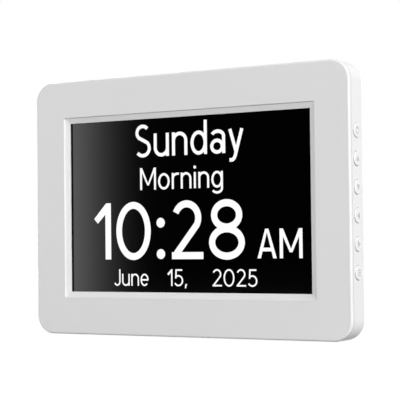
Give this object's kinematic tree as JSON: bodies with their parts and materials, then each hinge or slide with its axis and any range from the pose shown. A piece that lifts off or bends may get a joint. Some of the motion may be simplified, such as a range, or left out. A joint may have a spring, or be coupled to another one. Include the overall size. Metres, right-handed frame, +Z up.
{
  "type": "day clock",
  "caption": "Upright white slab day clock with a wide bevelled black display, side buttons, a raised back with keyholes and a fold-out stand.",
  "frame": {"origin": "centre of the case's bottom, on the plane the feet stand on", "axes": "+X to the right seen from the front, +Y from the display to the back, +Z up"},
  "size_m": [0.2268, 0.0244, 0.1634],
  "materials": {
    "shell_white": "fine matt texture, white moulded plastic",
    "cap_white": "smooth matt white plastic",
    "screen_black": "black display glass with an anti-glare film",
    "foam_black": "black foam and paper",
    "clear_sheet": "milky optical film and acrylic",
    "light_strip": "white strip with small lamps",
    "plated_steel": "plated sheet steel",
    "screw_steel": "zinc-plated steel",
    "board_green": "green circuit board lacquer",
    "chip_black": "black moulded plastic",
    "capacitor_can": "satin cans",
    "connector_white": "ivory plastic",
    "ribbon_film": "amber film",
    "wire_red": "soft insulation",
    "pin_brass": "plated",
    "rubber_grey": "soft matt grey",
    "label_film": "blank silver-grey film"
  },
  "bodies": {
    "case": {"front_frame": "shell_white", "rear_housing": "shell_white", "window_gasket": "foam_black", "speaker_gasket": "foam_black", "speaker_cone": "foam_black", "lcd_cell": "screen_black", "diffuser_sheets": "clear_sheet", "light_guide": "clear_sheet", "light_strip": "light_strip", "lcd_pan": "plated_steel", "lcd_clips": "plated_steel", "lcd_clip_screws": "screw_steel", "main_board_screws": "screw_steel", "case_screws": "screw_steel", "main_board": "board_green", "button_board": "board_green", "power_board": "board_green", "processor": "chip_black", "memory_chips": "chip_black", "board_inductor": "chip_black", "cell_holder": "chip_black", "switch_bodies": "chip_black", "power_socket": "chip_black", "board_capacitors": "capacitor_can", "clock_crystal": "plated_steel", "backup_cell": "plated_steel", "display_connector": "connector_white", "display_ribbon": "ribbon_film", "speaker_frame": "plated_steel", "speaker_magnet": "plated_steel", "speaker_wires": "wire_red", "power_wires": "wire_red", "button_cable": "connector_white", "power_socket_pin": "pin_brass", "rubber_feet": "rubber_grey", "stand_pin": "screw_steel", "rating_label": "label_film"},
    "stand": {"stand_leg": "shell_white", "stand_pad": "rubber_grey"},
    "power_key": {"power_button": "cap_white", "power_plunger": "chip_black"},
    "up_key": {"up_button": "cap_white", "up_plunger": "chip_black"},
    "down_key": {"down_button": "cap_white", "down_plunger": "chip_black"},
    "left_key": {"left_button": "cap_white", "left_plunger": "chip_black"},
    "right_key": {"right_button": "cap_white", "right_plunger": "chip_black"},
    "menu_key": {"menu_button": "cap_white", "menu_plunger": "chip_black"}
  },
  "joints": [
    {"name": "stand_hinge", "type": "hinge", "parent": "case", "child": "stand", "pos_m": [0, 0.00955, 0.0884], "axis": [1, 0, 0], "range_deg": [0, 26]},
    {"name": "power_press", "type": "slide", "parent": "case", "child": "power_key", "axis": [-1, 0, 0], "range_m": [0, 0.0005], "stiffness_N_per_m": 1500, "springref_m": -0.0005},
    {"name": "up_press", "type": "slide", "parent": "case", "child": "up_key", "axis": [-1, 0, 0], "range_m": [0, 0.0005], "stiffness_N_per_m": 1500, "springref_m": -0.0005},
    {"name": "down_press", "type": "slide", "parent": "case", "child": "down_key", "axis": [-1, 0, 0], "range_m": [0, 0.0005], "stiffness_N_per_m": 1500, "springref_m": -0.0005},
    {"name": "left_press", "type": "slide", "parent": "case", "child": "left_key", "axis": [-1, 0, 0], "range_m": [0, 0.0005], "stiffness_N_per_m": 1500, "springref_m": -0.0005},
    {"name": "right_press", "type": "slide", "parent": "case", "child": "right_key", "axis": [-1, 0, 0], "range_m": [0, 0.0005], "stiffness_N_per_m": 1500, "springref_m": -0.0005},
    {"name": "menu_press", "type": "slide", "parent": "case", "child": "menu_key", "axis": [-1, 0, 0], "range_m": [0, 0.0005], "stiffness_N_per_m": 1500, "springref_m": -0.0005}
  ]
}
